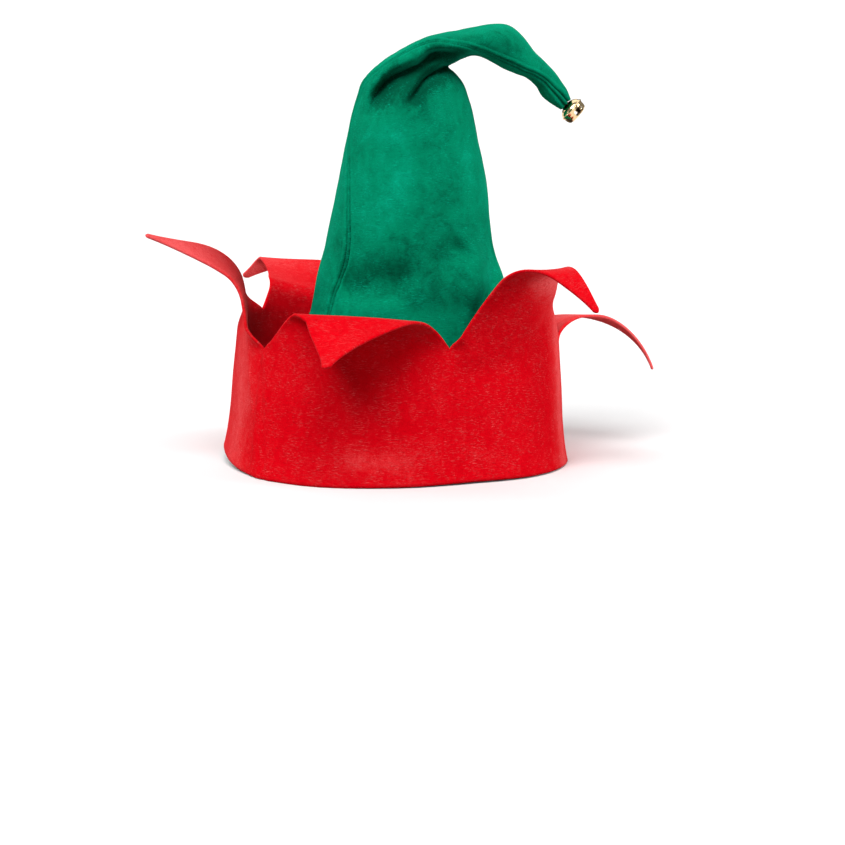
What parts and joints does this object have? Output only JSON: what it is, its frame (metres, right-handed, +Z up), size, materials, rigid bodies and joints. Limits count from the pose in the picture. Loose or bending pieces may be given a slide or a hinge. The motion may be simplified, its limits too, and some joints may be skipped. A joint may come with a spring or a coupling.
{
  "type": "elf hat",
  "caption": "Peaked felt hat whose top bends over to one side, with a pointed turn-up band round the foot and a small bell at the tip.",
  "frame": {"origin": "centre of the head opening, on the plane on which the rim rests", "axes": "+Z up; the wearer looks along -Y; the band's seam stands at +Y"},
  "size_m": [0.2721, 0.2785, 0.2291],
  "materials": {
    "green_felt": "matt needle felt with a short nap",
    "red_felt": "matt needle felt with a short nap",
    "bell_brass": "polished, lightly lacquered",
    "thread": "matt sewing thread"
  },
  "bodies": {
    "root": {"crown": "green_felt", "band": "red_felt", "bell": "bell_brass", "bell_thread": "thread"}
  },
  "joints": []
}
